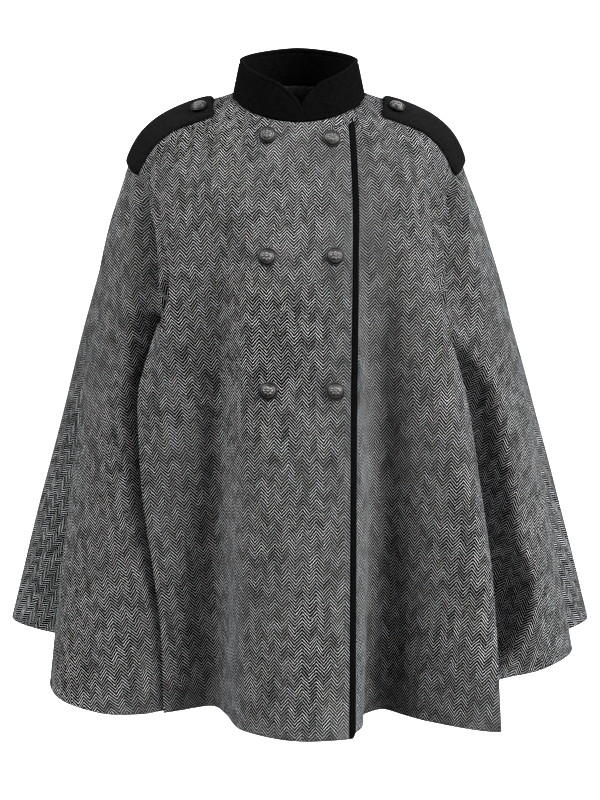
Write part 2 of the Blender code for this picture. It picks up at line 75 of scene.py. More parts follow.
COLLAR_WALL = 0.0042
COLLAR_TURNS = (-4.0, -3.0, -1.5, 1.5, 5.0, 10.0, 15.0, 22.0, 30.0, 45.0, 70.0, 90.0, 120.0, 180.0)
COLLAR_HEIGHTS = (0.005, 0.006, 0.0135, 0.0235, 0.029, 0.0352, 0.0397, 0.0445, 0.0465, 0.0470, 0.0448,
                  0.0430, 0.0445, 0.0470)   # here: lower at the sides
COLLAR_HEIGHT = max(COLLAR_HEIGHTS)
COLLAR_SHIFT = 2.0        # here: degrees that the crossing lies to the wearer's left of the middle
COLLAR_LEAN = 0.010       # the top edge is this much nearer the neck than the seam
COLLAR_RIGHT_END = 363.0 + COLLAR_SHIFT
COLLAR_LEFT_END = -4.0 + COLLAR_SHIFT
COLLAR_CROSSING = (12.0, 40.0)   # the left end goes in below the right one between these angles
COLLAR_RADIUS = 0.080     # turns an angle into a distance round the neck
FACING_WALL = 0.0015
FACING_DOWN = (0.0, 0.085)   # here: from the seam on
FACING_RISE = 0.003       # here: its top edge stands up by this much
FACING_HALF_SPAN = 56.25

EPAULETTE_WIDTH = 0.050
EPAULETTE_WALL = 0.0052
EPAULETTE_ROUND = 0.012   # corner radius
EPAULETTE_CLEAR = 0.0006  # room between a strap and the cloth
EPAULETTE_MIDDLE = (      # down, angle; here: starts nearer the neck
    (0.037, 77.3),
    (0.070, 79.5),
    (0.110, 82.0),
    (0.150, 81.8),
    (0.205, 81.6),
)
EPAULETTE_SLANT = 0.0050  # here: its back corner lies this much higher and its front one lower, as a share
EPAULETTE_ROLL = 0.0042   # width of its rounded back edge and ends
EPAULETTE_FRONT_ROLL = 0.0110
EPAULETTE_CROWN = 0.10    # its middle is this much thicker, as a share

BUTTON_RADIUS = 0.0113
EPAULETTE_BUTTON_RADIUS = 0.0101   # here: smaller than in front
BUTTON_HEIGHT = 0.0085
BUTTON_CLEAR = 0.0006     # room between a button and what lies below it
FRONT_BUTTONS = (         # name, distance below the neck seam, distance from the middle
    ("button_right_1", 0.0225, -0.0388),
    ("button_right_2", 0.1725, -0.0392),
    ("button_right_3", 0.3345, -0.0375),
    ("button_left_1", 0.0280, 0.0380),
    ("button_left_2", 0.1735, 0.0415),
    ("button_left_3", 0.3350, 0.0414),
)
EPAULETTE_BUTTONS = (     # name, down, angle
    ("epaulette_button_right", 0.059, -76.2),
    ("epaulette_button_left", 0.060, 76.4),
)
UP = np.array((0.0, 0.0, 1.0))

SECTION_COLUMNS = ("down", "half_width", "front_depth", "back_depth", "side_z", "front_z", "back_z",
                   "middle_x")
SECTIONS = (
    (0.000, 0.082, 0.080, 0.066, 0.000, -0.032, 0.008, -0.0015),
    (0.025, 0.099, 0.087, 0.078, -0.005, -0.049, -0.004, -0.002),
    (0.060, 0.126, 0.098, 0.094, -0.012, -0.072, -0.025, -0.003),
    (0.110, 0.164, 0.114, 0.111, -0.029, -0.106, -0.058, -0.0035),
    (0.150, 0.187, 0.127, 0.121, -0.047, -0.133, -0.086, -0.004),
    (0.180, 0.200, 0.136, 0.127, -0.066, -0.154, -0.107, -0.0045),
    (0.220, 0.2125, 0.147, 0.133, -0.098, -0.182, -0.136, -0.0055),
    (0.300, 0.236, 0.165, 0.144, -0.159, -0.237, -0.194, -0.006),
    (0.450, 0.266, 0.184, 0.165, -0.275, -0.344, -0.301, -0.0035),
    (0.620, 0.290, 0.208, 0.191, -0.408, -0.467, -0.424, -0.0015),
    (0.800, 0.313, 0.231, 0.219, -0.550, -0.600, -0.554, -0.001),
    (1.000, 0.335, 0.255, 0.250, -0.706, -0.742, -0.700, 0.000),
)
FOLD_COLUMNS = ("name", "top_angle", "hem_angle", "hem_reach", "start", "power")
FOLDS = (
    ("back_trough_right", -172.0, -170.0, -0.022, 0.30, 1.2),
    ("back_crest_right", -150.0, -148.0, 0.030, 0.30, 1.2),
    ("shoulder_trough_right", -128.0, -129.0, -0.030, 0.28, 1.1),
    ("back_ridge_right", -103.0, -106.0, 0.079, 0.22, 1.1),
    ("side_trough_right", -90.0, -84.0, -0.085, 0.22, 1.0),
    ("side_ridge_back_right", -84.0, -64.0, 0.030, 0.24, 2.2),
    ("side_ridge_right", -76.0, -56.5, 0.043, 0.26, 2.2),
    ("side_ridge_front_right", -70.0, -48.0, 0.033, 0.28, 2.2),
    ("slit_right", -52.0, -40.0, -0.014, 0.34, 1.5),
    ("front_trough_right", -34.0, -32.5, -0.072, 0.18, 0.75),
    ("front_trough_inner_right", -29.5, -25.5, -0.053, 0.18, 0.75),
    ("front_flank_right", -18.0, -15.0, 0.000, 0.30, 1.2),
    ("front_crest", 0.0, 2.0, 0.030, 0.40, 1.4),
    ("overlap_crest", 22.0, 12.5, 0.025, 0.36, 1.4),
    ("overlap_edge", 27.0, 16.5, -0.002, 0.34, 1.4),
    ("front_trough_inner_left", 34.0, 22.5, -0.056, 0.20, 0.75),
    ("front_trough_left", 40.0, 29.5, -0.066, 0.20, 0.75),
    ("front_flank_left", 46.0, 34.0, -0.004, 0.30, 1.2),
    ("slit_left", 53.0, 42.0, 0.078, 0.28, 1.2),
    ("slit_trough_left", 66.0, 62.0, -0.034, 0.28, 1.2),
    ("side_flank_left", 72.0, 71.0, 0.000, 0.24, 1.2),
    ("side_ridge_left", 82.0, 83.0, 0.020, 0.24, 1.2),
    ("side_trough_left", 92.0, 91.0, 0.002, 0.24, 1.1),
    ("back_ridge_left", 103.0, 106.0, 0.079, 0.22, 1.1),
    ("shoulder_trough_left", 128.0, 129.0, -0.030, 0.28, 1.1),
    ("back_crest_left", 150.0, 148.0, 0.030, 0.30, 1.2),
    ("back_trough_left", 172.0, 170.0, -0.022, 0.30, 1.2),
)
FOLD_TOP = 0.20
CREST = 0.12
FALL_EASE = 0.22          # how gently the roof shape of the shoulders gives way to the round one
LINE_COLUMNS = ("down", "right_front_x", "left_front_x", "side_seam_angle", "overlap_x", "right_sink",
                "left_sink", "left_wall")
LINES = (
    (0.000, -0.1935, 0.1855, 90.0, 0.0655, 0.000, 0.000, -0.010),
    (0.050, -0.1935, 0.1855, 90.0, 0.0680, 0.000, 0.000, -0.010),
    (0.160, -0.1935, 0.1855, 90.0, 0.0708, 0.000, 0.000, -0.010),
    (0.175, -0.1918, 0.1840, 90.5, 0.0710, 0.000, 0.000, -0.010),
    (0.200, -0.181, 0.176, 91.0, 0.0710, 0.000, 0.000, -0.010),
    (0.250, -0.168, 0.160, 92.0, 0.0706, 0.000, 0.000, -0.010),
    (0.310, -0.158, 0.161, 92.0, 0.0700, 0.000, 0.000, -0.022),
    (0.335, -0.158, 0.167, 92.0, 0.0698, 0.007, 0.013, -0.016),
    (0.360, -0.163, 0.173, 92.0, 0.0695, 0.015, 0.023, -0.014),
    (0.420, -0.179, 0.184, 92.0, 0.0688, 0.027, 0.031, -0.006),
    (0.520, -0.197, 0.203, 91.0, 0.0680, 0.035, 0.036, 0.022),
    (0.640, -0.192, 0.217, 90.0, 0.0675, 0.035, 0.041, 0.052),
    (0.780, -0.176, 0.231, 88.0, 0.0670, 0.026, 0.051, 0.090),
    (0.870, -0.168, 0.235, 88.0, 0.0665, 0.018, 0.061, 0.120),
    (1.000, -0.165, 0.238, 88.0, 0.0660, 0.014, 0.078, 0.116),
)

VALLEY_COLUMNS = ("down", "right_angle", "left_angle", "share")   # soft valleys above the arm slits
VALLEYS = (
    (0.000, -80.0, 84.0, 0.0),
    (0.195, -75.0, 80.0, 0.0),
    (0.225, -70.2, 74.5, 0.75),
    (0.250, -65.8, 70.5, 1.0),
    (0.290, -61.0, 67.0, 1.0),
    (0.330, -58.5, 65.4, 1.0),
    (0.380, -57.0, 63.9, 0.75),
    (0.440, -55.2, 63.2, 0.3),
    (0.500, -55.0, 63.0, 0.0),
    (1.000, -55.0, 63.0, 0.0),
)
VALLEY_SIZES = (("right_angle", 0.028, 6.5), ("left_angle", 0.030, 8.0))   # depth, half width in degrees

# ---------------------------------------------------------------- sizes of the fine pieces
EDGE_STEPS = (0.0, 0.0003, 0.0008, 0.0016, 0.0028, 0.0046)     # close columns next to an edge
HEM_STEPS = (0.0, 0.0003, 0.0008, 0.0016, 0.0028, 0.0046, 0.0068, 0.0080, 0.0086, 0.0092, 0.0098, 0.0106,
             0.0120)
STRAP_STEPS = (0.0, 0.0002, 0.0006, 0.0012, 0.002, 0.003, 0.0045, 0.006, 0.008, 0.010, 0.012)
STRAP_SIDE_STEPS = (0.0, 0.01, 0.03, 0.06, 0.1, 0.15, 0.2, 0.26)   # shares of its half width
BINDING_STEPS = (0.0, 0.0004, 0.001, 0.002)
CORNER_STEPS = (0.85, 0.7, 0.55, 0.4, 0.3, 0.2, 0.12, 0.06, 0.0)   # shares of the binding's corner
PANEL_ROWS = 190
SAMPLES = 301             # places at which a row's length is measured
FLAT_ROWS = 40            # rows of the grid on which a piece is laid out flat
FLAT_ROUNDS = 80
HEM_STITCH = 0.0092       # topstitching this far above the hem
STITCH_DEPTH = 0.0005     # how far it draws the cloth in
STITCH_WIDTH = 0.0009
COLLAR_STITCH = 0.0058    # topstitching this far inside the collar's edge
COLLAR_GROOVE = 0.0009    # how far it draws both faces in
COLLAR_GROOVE_WIDTH = 0.0011
RIPPLE = 0.0008           # unevenness of the hanging cloth
RIPPLE_EASE = 0.02        # it grows over this distance from an edge
RIPPLE_WAVES = (          # direction and fineness along X, Y and Z, and phase
    (21.0, 9.0, 4.0, 0.3),
    (-13.0, 26.0, 9.0, 1.7),
    (34.0, -17.0, 15.0, 4.1),
    (-29.0, 31.0, -21.0, 2.6),
    (52.0, 12.0, -33.0, 5.2),
)
SPOKES = 96               # points round a button
BUTTON_BACK = (           # its side and back: radius and height as shares of the button's
    (1.0, 0.22),
    (1.0, 0.12),
    (0.975, 0.05),
    (0.90, 0.0),
    (0.82, 0.0),
    (0.3, 0.0),
)

# ---------------------------------------------------------------- the weave
HALF_COLUMN = 0.00828     # width of one slanting column of the herringbone
LINE_PERIOD = 0.0041      # from one pale line to the next, up the cloth
LINE_SLOPE = 1.15
YARN = HALF_COLUMN / 9
PEAK_X = 0.0023           # a column's peak lies this far from the middle of the front
BLOCK_RATE = 16.0         # blocks of lines in a metre of a column
BLOCK_STAGGER = 9.0       # most that a column's blocks are moved along it, in blocks
BLOCK_SHIFT = 0.50        # most that a block's lines are out of step, in periods
LEFT_FRONT_TILT = -6.0    # degrees between a piece's grain and the line that it is measured from
RIGHT_SIDE_TILT = -18.0
LEFT_SIDE_TILT = 15.0

# ---------------------------------------------------------------- camera and light
CAMERA_PLACE = (0.0, -2.5, 0.08)
CAMERA_PITCH = 10.6       # degrees down
CAMERA_LENS = 89.5
PIXEL_FILTER = 1.10       # sharper than Blender's own 1.5, as the photograph is
AIR_LIGHT = 0.012
LAMPS = (                 # name, azimuth, elevation, power, degrees of the sky that the lamp covers
    ("key", 72.0, 28.0, 5.0, 34.0),
    ("side", -75.0, 43.0, 3.8, 38.0),
    ("front", 17.0, -8.0, 0.88, 40.0),
    ("back", 180.0, 24.0, 2.2, 60.0),
)
FLOOR_Z = -1.45
FLOOR_RADIUS = 5.0
FLOOR_CURVE = 1.5         # radius of the curve from the floor up into the backdrop
BACKDROP = ((6.5, 3.0), (5.6, 5.0), (3.5, 6.5), (0.0, 7.0))   # radius, height
FLOOR_SPOKES = 64


# ---------------------------------------------------------------- the draped surface
def column(table, columns, name):
    """One named column of a table, as an array."""
    place = columns.index(name)
    return np.array([row[place] for row in table])


def smooth_line(knots, values, at):
    """Values between the knots, on a smooth curve that never overshoots them."""
    at = np.clip(np.asarray(at, float), knots[0], knots[-1])
    step = np.diff(knots)
    slope = np.diff(values) / step
    before, after = slope[:-1], slope[1:]
    same_way = before * after > 0
    total = np.where(same_way, before + after, 1.0)
    tangent = np.concatenate((slope[:1], np.where(same_way, 2 * before * after / total, 0.0), slope[-1:]))
    place = np.clip(np.searchsorted(knots, at, side="right") - 1, 0, len(step) - 1)
    width = step[place]
    u = (at - knots[place]) / width
    return ((2 * u**3 - 3 * u**2 + 1) * values[place] + (u**3 - 2 * u**2 + u) * width * tangent[place]
            + (3 * u**2 - 2 * u**3) * values[place + 1] + (u**3 - u**2) * width * tangent[place + 1])


def value_at(table, columns, name, down):
    """A named column's value at `down`."""
    return float(smooth_line(column(table, columns, "down"), column(table, columns, name), down))


@cache
def section(name, down):
    """A size of the cross-section at `down`."""
    return value_at(SECTIONS, SECTION_COLUMNS, name, down)


@cache
def line(name, down):
    """Where a seam or free edge runs at `down`."""
    return value_at(LINES, LINE_COLUMNS, name, down)


@cache
def valley_value(name, down):
    """Where a valley runs at `down`, or the share of its depth that it has there."""
    return value_at(VALLEYS, VALLEY_COLUMNS, name, down)


def fade(away):
    """Softly from 1 where `away` is 0 to 0 where it is 1 or more."""
    return 0.5 + 0.5 * np.cos(np.pi * np.clip(away, 0, 1))


def fold_reach(down, angles):
    """How far the folds push the cloth out at each angle."""
    run = np.clip((down - FOLD_TOP) / (1 - FOLD_TOP), 0, 1)
    top = column(FOLDS, FOLD_COLUMNS, "top_angle")
    knots = top + (column(FOLDS, FOLD_COLUMNS, "hem_angle") - top) * run
    start = column(FOLDS, FOLD_COLUMNS, "start")
    growth = np.clip((down - start) / (1 - start), 0, 1) ** column(FOLDS, FOLD_COLUMNS, "power")
    reach = column(FOLDS, FOLD_COLUMNS, "hem_reach") * growth
    knots = np.concatenate((knots[-1:] - 360, knots, knots[:1] + 360))
    reach = np.concatenate((reach[-1:], reach, reach[:1]))
    angles = (np.asarray(angles, float) + 180) % 360 - 180
    return smooth_line(knots, reach, angles) - valley_depth(down, angles)


def valley_depth(down, angles):
    """How deep the soft valleys above the arm slits are at each angle."""
    share, depth = valley_value("share", down), 0 * angles
    for name, deepest, half_width in VALLEY_SIZES:
        away = np.abs(angles - valley_value(name, down)) / half_width
        depth = depth + deepest * share * fade(away)
    return depth


def fall_share(down, sine, cosine):
    """How far the height has gone from its value at the side to that in front or behind."""
    roof = (np.hypot(cosine, CREST) - CREST) / (math.hypot(1, CREST) - CREST)
    past = (down - 0.2) / 0.3
    share = min((past + math.hypot(past, FALL_EASE)) / 2, 1.0)
    return roof + (1 - sine**4 - roof) * share


def cloth(down, angles, sink=None):
    """Points of the cloth's outer face at one `down` and several angles.  sink(down, angles) gives how
    far a piece lies nearer the wearer than the draped surface."""
    angles = np.asarray(angles, float)
    sine, cosine = np.sin(np.radians(angles)), np.cos(np.radians(angles))
    ahead = cosine > 0
    depth = np.where(ahead, section("front_depth", down), section("back_depth", down))
    reach = 1 / np.hypot(sine / section("half_width", down), cosine / depth) + fold_reach(down, angles)
    across, back = reach * sine, -reach * cosine
    if sink is not None:
        deep = sink(down, angles)
        across = across - deep * math.sin(SINK_TURN) * np.sign(sine)
        back = back + deep * math.cos(SINK_TURN)
    end_z = np.where(ahead, section("front_z", down), section("back_z", down))
    side_z = section("side_z", down)
    height = side_z + (end_z - side_z) * fall_share(down, sine, cosine)
    return np.stack((section("middle_x", down) + across, back, height), -1)


def cloth_normals(down, angles):
    """Directions straight out of the cloth."""
    angles = np.asarray(angles, float)
    across = cloth(down, angles + 0.1) - cloth(down, angles - 0.1)
    along = cloth(min(down + FINE, 1.0), angles) - cloth(max(down - FINE, 0.0), angles)
    normal = np.cross(along, across)
    return normal / np.linalg.norm(normal, axis=-1, keepdims=True)


@cache
def angle_at_x(down, x):
    """Angle in the front half at which the cloth is at distance x from the middle."""
    side = math.copysign(1, x)
    angles = side * np.linspace(0, 90, 721)
    across = side * cloth(down, angles)[:, 0]
    return float(np.interp(abs(x), np.maximum.accumulate(across), side * angles)) * side


@cache
def degrees_for(distance, down, angle):
    """The angle that spans a short distance across the cloth."""
    nearby = cloth(down, (angle - 0.2, angle + 0.2))
    return 0.4 * distance / float(np.linalg.norm(nearby[1] - nearby[0]))


# ---------------------------------------------------------------- where pieces end
def front_edge(side, down):
    """Angle of the front's outer line: shoulder seam, then princess seam, then arm slit."""
    if down < SHOULDER_TOP:
        return side * 90.0
    return angle_at_x(down, line("left_front_x" if side > 0 else "right_front_x", down))


def overlap_edge(down, inset=0.0):
    """Angle of the upper front's free edge, or of a line that lies `inset` in from it."""
    return angle_at_x(down, line("overlap_x", down) - inset)


def side_seam(side, down):
    """Angle of the line between the back and the front or side panel."""
    if down < SHOULDER_TOP:
        return side * 90.0
    return side * line("side_seam_angle", down)


def half_gap(edge, side, down):
    """Half the room at a seam, in degrees across the cloth, wider where the seam runs aslant."""
    angle = edge(side, down)
    turned = edge(side, min(down + FINE, 1)) - edge(side, max(down - FINE, 0))
    lean = min(abs(turned) / degrees_for(2 * FINE * LENGTH, down, angle), STEEPEST_SEAM)
    return degrees_for(SEAM_GAP / 2 * math.hypot(1, lean), down, angle)


def upper_front_edges(down):
    """The wearer's right front, from its outer line to the binding on its free edge."""
    outer = front_edge(-1, down)
    trim = BINDING_WIDTH + SEAM_GAP if down > BINDING_TOP else 0.0
    return outer + half_gap(front_edge, -1, down), overlap_edge(down, trim)


def lower_front_edges(down):
    """The wearer's left front, from its free edge below the overlap to its outer line."""
    outer = front_edge(1, down)
    return angle_at_x(down, UNDERLAP_X), outer - half_gap(front_edge, 1, down)


def back_edges(down):
    left = side_seam(1, down) + half_gap(side_seam, 1, down)
    right = side_seam(-1, down) - half_gap(side_seam, -1, down)
    return left, 360 + right


def side_edges(side):
    """Edges of a side panel, which runs in below the front along the arm slit."""
    def edges(down):
        outer = side_seam(side, down)
        inner = front_edge(side, down)
        inner += side * half_gap(front_edge, side, down)
        # as it sinks it first draws away from the front's edge, then runs in under it
        depth = slit_sink(side, down) / (2 * WALL)
        under = SLIT_UNDERLAP * np.clip(depth - 1, 0, 1) - WALL * np.clip(depth, 0, 1)
        inner -= side * degrees_for(float(under), down, inner)
        outer -= side * half_gap(side_seam, side, down)
        return (inner, outer) if side > 0 else (outer, inner)
    return edges


def binding_edges(down):
    """The binding on the upper front's free edge, rounded off at the hem."""
    corner = BINDING_CORNER / FRONT_LENGTH
    cut = 1 - math.sqrt(1 - np.clip((down - 1 + corner) / corner, 0, 0.95) ** 2)
    return overlap_edge(down, BINDING_WIDTH), overlap_edge(down, BINDING_CORNER_WIDTH * cut)


def slit_sink(side, down):
    """How far below the front the side panel lies along the arm slit."""
    return line("left_sink" if side > 0 else "right_sink", down)


def side_sink(side):
    """The side panel sinks below the front's free edge, and comes out again away from it."""
    def sink(down, angles):
        deep = slit_sink(side, down)
        edge = front_edge(side, down)
        away = side * (angles - edge) / degrees_for(1.0, down, edge)
        if side > 0:
            wall, width = line("left_wall", down), LEFT_WALL_WIDTH
        else:
            wall, width = RIGHT_WALL, RIGHT_WALL_WIDTH
        return deep * fade((away - wall) / width)
    return sink


def lower_front_lift(down, angles):
    """The lower front lies below the upper one as far as the overlap's free edge."""
    edge = overlap_edge(down)
    away = (angles - edge) / degrees_for(1.0, down, edge) - BINDING_WALL
    return -OVERLAP_DEPTH * fade(away / OVERLAP_BLEND)


# ---------------------------------------------------------------- grids of points
def steps_across(length, count):
    """Distances from one edge to the other: close together near both edges, even between them."""
    near = np.array(EDGE_STEPS) * min(1.0, length / (4 * EDGE_STEPS[-1]))
    middle = np.linspace(near[-1], length - near[-1], count)[1:-1]
    return np.concatenate((near, middle, length - near[::-1]))


def cloth_row(down, edges, sink, place):
    """One row of a piece: its angles and their distances from its first edge.  place(length) gives
    the distances wanted."""
    first, last = edges(down)
    angles = np.linspace(first, last, 241)
    points = cloth(down, angles, sink)
    run = np.concatenate(([0.0], np.cumsum(np.linalg.norm(np.diff(points, axis=0), axis=1))))
    distances = place(run[-1])
    return np.interp(distances, run, angles), distances


def grid_normals(points):
    """Directions out of a grid whose rows run down and whose columns run with the angle."""
    along, across = np.empty_like(points), np.empty_like(points)
    along[1:-1] = points[2:] - points[:-2]
    along[0], along[-1] = points[1] - points[0], points[-1] - points[-2]
    across[:, 1:-1] = points[:, 2:] - points[:, :-2]
    across[:, 0], across[:, -1] = points[:, 1] - points[:, 0], points[:, -1] - points[:, -2]
    normals = np.cross(along, across)
    return normals / np.maximum(np.linalg.norm(normals, axis=-1, keepdims=True), 1e-12)


def rolled(distance, radius):
    """How far a rounded edge has dropped at this distance from the edge."""
    inside = np.clip(1 - distance / radius, 0, 0.97)
    return radius * (1 - np.sqrt(1 - inside**2))


def groove(distance, at):
    """How far a line of topstitching draws the cloth in."""
    return STITCH_DEPTH * np.exp(-((distance - at) / STITCH_WIDTH) ** 2)


def smooth_between(values, at):
    """Values on a smooth curve through evenly spaced knots along the first axis; `at` is 0 to 1."""
    last = len(values) - 1
    place = np.clip(np.asarray(at) * last, 0, last - 1e-9)
    knot = place.astype(int)
    t = (place - knot).reshape((-1,) + (1,) * (values.ndim - 1))
    wide = np.concatenate((2 * values[:1] - values[1:2], values, 2 * values[-1:] - values[-2:-1]))
    p0, p1, p2, p3 = (wide[knot + k] for k in range(4))
    return 0.5 * (2 * p1 + (p2 - p0) * t + (2 * p0 - 5 * p1 + 4 * p2 - p3) * t**2
                  + (3 * p1 - p0 - 3 * p2 + p3) * t**3)


# ---------------------------------------------------------------- laying a piece out flat
def grid_triangles(rows, columns):
    """Corners of the two triangles in each face of a grid."""
    index = np.arange(rows * columns).reshape(rows, columns)
    a, b = index[:-1, :-1].ravel(), index[:-1, 1:].ravel()
    c, d = index[1:, 1:].ravel(), index[1:, :-1].ravel()
    return np.concatenate((np.stack((a, c, b), -1), np.stack((a, d, c), -1)))


def fan_guess(points):
    """A flat fan with the grid's own row lengths, to start from."""
    gaps = np.linalg.norm(np.diff(points, axis=1), axis=-1)
    lengths = gaps.sum(axis=1)
    middle = points.shape[1] // 2
    falls = np.linalg.norm(np.diff(points[:, middle], axis=0), axis=-1)
    depth = np.concatenate(([0.0], np.cumsum(falls)))
    spread = max(np.polyfit(depth, lengths, 1)[0], 0.05)
    radius = lengths.mean() / spread + depth - depth.mean()
    turn = np.linspace(-0.5, 0.5, points.shape[1])[None, :] * (lengths / radius)[:, None]
    return np.stack((radius[:, None] * np.sin(turn), -radius[:, None] * np.cos(turn)), -1)


def lay_flat(points):
    """Lay a grid of cloth points out flat with as little stretch as can be, triangle by triangle."""
    rows, columns = points.shape[:2]
    corners = grid_triangles(rows, columns)
    solid = points.reshape(-1, 3)[corners]
    first, second = solid[:, 1] - solid[:, 0], solid[:, 2] - solid[:, 0]
    base = np.linalg.norm(first, axis=1)
    along = np.einsum("ij,ij->i", first, second) / base
    height = np.linalg.norm(np.cross(first, second), axis=1) / base
    rest = np.zeros((len(corners), 3, 2))
    rest[:, 1, 0], rest[:, 2, 0], rest[:, 2, 1] = base, along, height
    count = rows * columns
    matrix = np.zeros((count, count))
    sides = []
    for k in range(3):
        i, j, opposite = corners[:, k], corners[:, (k + 1) % 3], rest[:, (k + 2) % 3]
        one, other = rest[:, k] - opposite, rest[:, (k + 1) % 3] - opposite
        doubled = np.abs(one[:, 0] * other[:, 1] - one[:, 1] * other[:, 0])
        weight = np.clip(np.einsum("ij,ij->i", one, other) / np.maximum(doubled, 1e-12), 0.02, 20)
        np.add.at(matrix, (i, i), weight)
        np.add.at(matrix, (j, j), weight)
        np.add.at(matrix, (i, j), -weight)
        np.add.at(matrix, (j, i), -weight)
        sides.append((i, j, weight, rest[:, k] - rest[:, (k + 1) % 3]))
    matrix[0, 0] += 1.0
    inverse = np.linalg.inv(matrix)
    flat = fan_guess(points).reshape(-1, 2)
    for _ in range(FLAT_ROUNDS):
        cosine, sine = np.zeros(len(corners)), np.zeros(len(corners))
        for i, j, weight, edge in sides:
            now = flat[i] - flat[j]
            cosine += weight * (now[:, 0] * edge[:, 0] + now[:, 1] * edge[:, 1])
            sine += weight * (now[:, 1] * edge[:, 0] - now[:, 0] * edge[:, 1])
        size = np.maximum(np.hypot(cosine, sine), 1e-12)
        cosine, sine = cosine / size, sine / size
        pull = np.zeros((count, 2))
        for i, j, weight, edge in sides:
            turned = np.stack((cosine * edge[:, 0] - sine * edge[:, 1],
                               sine * edge[:, 0] + cosine * edge[:, 1]), -1) * weight[:, None]
            np.add.at(pull, i, turned)
            np.add.at(pull, j, -turned)
        flat = inverse @ pull
    return flat.reshape(rows, columns, 2)


def share_at(down, edges, sink, angles):
    """Shares of a row's length at these angles; below 0 and above 1 beyond the row's edges."""
    first, last = edges(down)
    dense = np.linspace(min(first, angles[0]), max(last, angles[-1]), SAMPLES)
    steps = np.linalg.norm(np.diff(cloth(down, dense, sink), axis=0), axis=1)
    run = np.concatenate(([0.0], np.cumsum(steps)))
    start, end = np.interp((first, last), dense, run)
    return (np.interp(angles, dense, run) - start) / (end - start)


def flat_places(flat, coarse_downs, edges, sink, downs, angles):
    """Where the points of a fine grid lie in the flat piece.  Each point is placed between the coarse
    rows at its own angle, so that it doesn't matter how the piece's edges run there."""
    last = len(coarse_downs) - 1
    steps = flat.shape[1] - 1
    places = np.empty(angles.shape + (2,))
    for k, down in enumerate(downs):
        knot = (down - coarse_downs[0]) / (coarse_downs[-1] - coarse_downs[0]) * last
        low = min(int(knot), last - 1)
        near = range(max(low - 1, 0), min(low + 3, last + 1))
        rows = []
        for row in near:
            share = share_at(coarse_downs[row], edges, sink, angles[k])
            past = (np.minimum(share, 0)[:, None] * (flat[row, 1] - flat[row, 0])
                    + np.maximum(share - 1, 0)[:, None] * (flat[row, -1] - flat[row, -2])) * steps
            rows.append(smooth_between(flat[row], np.clip(share, 0, 1)) + past)
        places[k] = smooth_between(np.array(rows), [(knot - near[0]) / (len(near) - 1)])[0]
    return places


def turn_to_grain(flat, path, tilt):
    """Turn and shift a flat piece so that `path`, a line down it, runs `tilt` degrees off the grain
    and its middle lies on the weave's origin."""
    away = path[0] - path[-1]
    turn = math.radians(tilt) + math.pi / 2 - math.atan2(away[1], away[0])
    matrix = np.array(((math.cos(turn), -math.sin(turn)), (math.sin(turn), math.cos(turn))))
    return (flat - path.mean(axis=0)) @ matrix.T


# ---------------------------------------------------------------- meshes
def add_shell(name, node, outer, inner, finish, weave=None):
    """A closed shell between two grids of points, with the weave's place as its UV map."""
    rows, columns = outer.shape[:2]
    count = rows * columns
    index = np.arange(count).reshape(rows, columns)
    a, b, c, d = index[:-1, :-1], index[:-1, 1:], index[1:, 1:], index[1:, :-1]
    faces = [np.stack((a, d, c, b), -1).reshape(-1, 4), np.stack((a, b, c, d), -1).reshape(-1, 4) + count]
    borders = (index[::-1, 0], index[:, -1], index[-1, ::-1], index[0, :])
    for border in borders:
        here, after = border[:-1], border[1:]
        faces.append(np.stack((here, after, after + count, here + count), -1))
    mesh = bpy.data.meshes.new(name)
    points = np.concatenate((outer.reshape(-1, 3), inner.reshape(-1, 3)))
    faces = np.concatenate(faces)
    mesh.from_pydata(points.tolist(), [], faces.tolist())
    if weave is not None:
        places = np.concatenate((weave.reshape(-1, 2), weave.reshape(-1, 2)))[faces.ravel()]
        mesh.uv_layers.new(name="weave").data.foreach_set("uv", places.astype(np.float32).ravel())
    return add_piece(name, node, mesh, finish)


def add_piece(name, node, mesh, finish):
    """Put a mesh in the scene as a smooth piece that rides on the coat in the place of a CAD node."""
    mesh.materials.append(finish)
    mesh.shade_smooth()
    piece = bpy.data.objects.new(name, mesh)
    bpy.context.collection.objects.link(piece)
    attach(piece, "root")
    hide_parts(node)
    return piece


def ripple(points):
    """Slight unevenness of hanging cloth: a few broad waves of fixed direction and phase."""
    total = sum(np.sin(points @ np.array(wave[:3]) + wave[3]) for wave in RIPPLE_WAVES)
    return RIPPLE * total / len(RIPPLE_WAVES)


